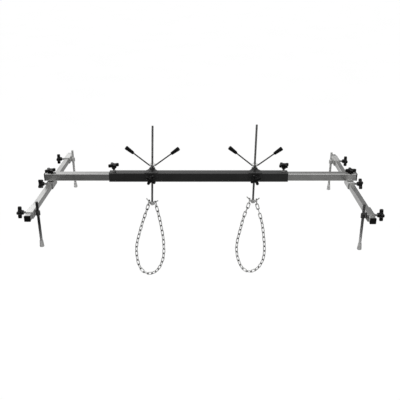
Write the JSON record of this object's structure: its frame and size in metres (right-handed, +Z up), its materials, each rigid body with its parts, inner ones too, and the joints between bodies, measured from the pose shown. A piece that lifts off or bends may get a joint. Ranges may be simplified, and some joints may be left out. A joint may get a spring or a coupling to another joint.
{
  "type": "engine support bar",
  "caption": "Telescoping bar on cross arms with clamped threaded legs, carrying wing-nut lifting rods with double hooks and chain loops to hold an engine from above.",
  "frame": {"origin": "on the plane that the four feet stand on, below the middle of the centre tube", "axes": "+X along the beam to its right end seen from the front, +Y to the rear, +Z up"},
  "size_m": [1.5707, 0.86, 0.8238],
  "materials": {
    "black_paint": "satin black paint",
    "black_steel": "black oxide",
    "zinc": "bright zinc plating",
    "bright_steel": "bright turned steel",
    "thread_steel": "zinc-plated thread",
    "chain_steel": "zinc-plated chain",
    "black_plastic": "moulded black plastic",
    "grip": "dipped black grip",
    "foot_rubber": "grey moulded rubber"
  },
  "bodies": {
    "beam": {"centre_tube": "black_paint", "lock_nuts": "zinc"},
    "left_extension": {"left_extension_tube": "zinc", "left_extension_cap": "black_plastic"},
    "left_lock_knob": {"left_lock_knob": "black_plastic"},
    "left_tee": {"left_tee_sleeve": "zinc", "left_swivel_bolt": "thread_steel", "left_swivel_washer": "black_steel"},
    "left_swivel_knob": {"left_swivel_knob": "black_plastic"},
    "left_tee_knob": {"left_tee_knob": "black_plastic"},
    "left_arm": {"left_arm_tube": "zinc", "left_arm_caps": "black_plastic"},
    "right_extension": {"right_extension_tube": "zinc", "right_extension_cap": "black_plastic"},
    "right_lock_knob": {"right_lock_knob": "black_plastic"},
    "right_tee": {"right_tee_sleeve": "zinc", "right_swivel_bolt": "thread_steel", "right_swivel_washer": "black_steel"},
    "right_swivel_knob": {"right_swivel_knob": "black_plastic"},
    "right_tee_knob": {"right_tee_knob": "black_plastic"},
    "right_arm": {"right_arm_tube": "zinc", "right_arm_caps": "black_plastic"},
    "front_left_clamp": {"front_left_clamp_sleeve": "zinc", "front_left_leg_bush": "zinc"},
    "front_left_clamp_knob": {"front_left_clamp_knob": "black_plastic"},
    "front_left_leg": {"front_left_leg_rod": "thread_steel", "front_left_foot": "foot_rubber"},
    "front_right_clamp": {"front_right_clamp_sleeve": "zinc", "front_right_leg_bush": "zinc"},
    "front_right_clamp_knob": {"front_right_clamp_knob": "black_plastic"},
    "front_right_leg": {"front_right_leg_rod": "thread_steel", "front_right_foot": "foot_rubber"},
    "rear_left_clamp": {"rear_left_clamp_sleeve": "zinc", "rear_left_leg_bush": "zinc"},
    "rear_left_clamp_knob": {"rear_left_clamp_knob": "black_plastic"},
    "rear_left_leg": {"rear_left_leg_rod": "thread_steel", "rear_left_foot": "foot_rubber"},
    "rear_right_clamp": {"rear_right_clamp_sleeve": "zinc", "rear_right_leg_bush": "zinc"},
    "rear_right_clamp_knob": {"rear_right_clamp_knob": "black_plastic"},
    "rear_right_leg": {"rear_right_leg_rod": "thread_steel", "rear_right_foot": "foot_rubber"},
    "left_saddle": {"left_saddle": "black_steel", "left_rod_guide": "black_steel"},
    "left_saddle_knob": {"left_saddle_knob": "black_plastic"},
    "left_wing_nut": {"left_wing_hub": "bright_steel", "left_wing_spokes": "bright_steel", "left_wing_grips": "grip"},
    "left_lift": {"left_lifting_rod": "thread_steel", "left_hook": "zinc"},
    "left_chain": {"left_chain": "chain_steel"},
    "right_saddle": {"right_saddle": "black_steel", "right_rod_guide": "black_steel"},
    "right_saddle_knob": {"right_saddle_knob": "black_plastic"},
    "right_wing_nut": {"right_wing_hub": "bright_steel", "right_wing_spokes": "bright_steel", "right_wing_grips": "grip"},
    "right_lift": {"right_lifting_rod": "thread_steel", "right_hook": "zinc"},
    "right_chain": {"right_chain": "chain_steel"}
  },
  "joints": [
    {"name": "left_extension_slide", "type": "slide", "parent": "beam", "child": "left_extension", "axis": [-1, 0, 0], "range_m": [-0.24, 0.05]},
    {"name": "left_lock_screw", "type": "hinge", "parent": "beam", "child": "left_lock_knob", "pos_m": [-0.407, 0, 0.243], "axis": [0, 0, 1], "range_deg": [0, 720]},
    {"name": "left_arm_swivel", "type": "hinge", "parent": "left_extension", "child": "left_tee", "pos_m": [-0.7135, 0, 0.205], "axis": [0, 0, 1], "range_deg": [-45, 45]},
    {"name": "left_swivel_screw", "type": "hinge", "parent": "left_tee", "child": "left_swivel_knob", "pos_m": [-0.7135, 0, 0.2227], "axis": [0, 0, 1], "range_deg": [0, 720]},
    {"name": "left_tee_screw", "type": "hinge", "parent": "left_tee", "child": "left_tee_knob", "pos_m": [-0.75, 0, 0.1645], "axis": [-1, 0, 0], "range_deg": [0, 720]},
    {"name": "left_arm_slide", "type": "slide", "parent": "left_tee", "child": "left_arm", "axis": [0, 1, 0], "range_m": [-0.1, 0.1]},
    {"name": "right_extension_slide", "type": "slide", "parent": "beam", "child": "right_extension", "axis": [1, 0, 0], "range_m": [-0.24, 0.05]},
    {"name": "right_lock_screw", "type": "hinge", "parent": "beam", "child": "right_lock_knob", "pos_m": [0.409, 0, 0.243], "axis": [0, 0, 1], "range_deg": [0, 720]},
    {"name": "right_arm_swivel", "type": "hinge", "parent": "right_extension", "child": "right_tee", "pos_m": [0.732, 0, 0.205], "axis": [0, 0, 1], "range_deg": [-45, 45]},
    {"name": "right_swivel_screw", "type": "hinge", "parent": "right_tee", "child": "right_swivel_knob", "pos_m": [0.732, 0, 0.2227], "axis": [0, 0, 1], "range_deg": [0, 720]},
    {"name": "right_tee_screw", "type": "hinge", "parent": "right_tee", "child": "right_tee_knob", "pos_m": [0.7685, 0, 0.1645], "axis": [1, 0, 0], "range_deg": [0, 720]},
    {"name": "right_arm_slide", "type": "slide", "parent": "right_tee", "child": "right_arm", "axis": [0, 1, 0], "range_m": [-0.1, 0.1]},
    {"name": "front_left_clamp_slide", "type": "slide", "parent": "left_arm", "child": "front_left_clamp", "axis": [0, -1, 0], "range_m": [-0.12, 0.03]},
    {"name": "front_left_clamp_screw", "type": "hinge", "parent": "front_left_clamp", "child": "front_left_clamp_knob", "pos_m": [-0.75, -0.337, 0.1645], "axis": [-1, 0, 0], "range_deg": [0, 720]},
    {"name": "front_left_leg_slide", "type": "slide", "parent": "front_left_clamp", "child": "front_left_leg", "axis": [0, 0, 1], "range_m": [-0.02, 0.08]},
    {"name": "front_right_clamp_slide", "type": "slide", "parent": "right_arm", "child": "front_right_clamp", "axis": [0, -1, 0], "range_m": [-0.12, 0.025]},
    {"name": "front_right_clamp_screw", "type": "hinge", "parent": "front_right_clamp", "child": "front_right_clamp_knob", "pos_m": [0.7685, -0.365, 0.1645], "axis": [1, 0, 0], "range_deg": [0, 720]},
    {"name": "front_right_leg_slide", "type": "slide", "parent": "front_right_clamp", "child": "front_right_leg", "axis": [0, 0, 1], "range_m": [-0.02, 0.08]},
    {"name": "rear_left_clamp_slide", "type": "slide", "parent": "left_arm", "child": "rear_left_clamp", "axis": [0, 1, 0], "range_m": [-0.12, 0.008]},
    {"name": "rear_left_clamp_screw", "type": "hinge", "parent": "rear_left_clamp", "child": "rear_left_clamp_knob", "pos_m": [-0.75, 0.37, 0.1645], "axis": [-1, 0, 0], "range_deg": [0, 720]},
    {"name": "rear_left_leg_slide", "type": "slide", "parent": "rear_left_clamp", "child": "rear_left_leg", "axis": [0, 0, 1], "range_m": [-0.02, 0.08]},
    {"name": "rear_right_clamp_slide", "type": "slide", "parent": "right_arm", "child": "rear_right_clamp", "axis": [0, 1, 0], "range_m": [-0.12, 0.019]},
    {"name": "rear_right_clamp_screw", "type": "hinge", "parent": "rear_right_clamp", "child": "rear_right_clamp_knob", "pos_m": [0.7685, 0.333, 0.1645], "axis": [1, 0, 0], "range_deg": [0, 720]},
    {"name": "rear_right_leg_slide", "type": "slide", "parent": "rear_right_clamp", "child": "rear_right_leg", "axis": [0, 0, 1], "range_m": [-0.02, 0.08]},
    {"name": "left_saddle_slide", "type": "slide", "parent": "beam", "child": "left_saddle", "axis": [1, 0, 0], "range_m": [-0.075, 0.084]},
    {"name": "left_saddle_screw", "type": "hinge", "parent": "left_saddle", "child": "left_saddle_knob", "pos_m": [-0.2264, -0.0358, 0.204], "axis": [0, -1, 0], "range_deg": [0, 720]},
    {"name": "left_wing_turn", "type": "hinge", "parent": "left_saddle", "child": "left_wing_nut", "pos_m": [-0.22673, 0.0365, 0.20501], "axis": [0.0419, 0, 0.9991], "range_deg": [-24100, 36100]},
    {"name": "left_rod_lift", "type": "slide", "parent": "left_saddle", "child": "left_lift", "axis": [0.0419, 0, 0.9991], "range_m": [-0.15, 0.1]},
    {"name": "left_chain_swing", "type": "hinge", "parent": "left_lift", "child": "left_chain", "pos_m": [-0.23309, 0.0365, 0.05329], "axis": [0.9389, -0.342, -0.0394], "range_deg": [-25, 25]},
    {"name": "right_saddle_slide", "type": "slide", "parent": "beam", "child": "right_saddle", "axis": [1, 0, 0], "range_m": [-0.12, 0.043]},
    {"name": "right_saddle_screw", "type": "hinge", "parent": "right_saddle", "child": "right_saddle_knob", "pos_m": [0.272, -0.0358, 0.204], "axis": [0, -1, 0], "range_deg": [0, 720]},
    {"name": "right_wing_turn", "type": "hinge", "parent": "right_saddle", "child": "right_wing_nut", "pos_m": [0.27187, 0.0365, 0.205], "axis": [0.0157, 0, 0.9999], "range_deg": [-24100, 36100]},
    {"name": "right_rod_lift", "type": "slide", "parent": "right_saddle", "child": "right_lift", "axis": [0.0157, 0, 0.9999], "range_m": [-0.15, 0.1]},
    {"name": "right_chain_swing", "type": "hinge", "parent": "right_lift", "child": "right_chain", "pos_m": [0.26966, 0.0365, 0.06417], "axis": [0.9702, -0.2419, -0.0152], "range_deg": [-25, 25]}
  ],
  "couplings": [
    {"joint": "left_wing_turn", "follows": "left_rod_lift", "rad_per_m": -4188.8},
    {"joint": "right_wing_turn", "follows": "right_rod_lift", "rad_per_m": -4188.8}
  ]
}
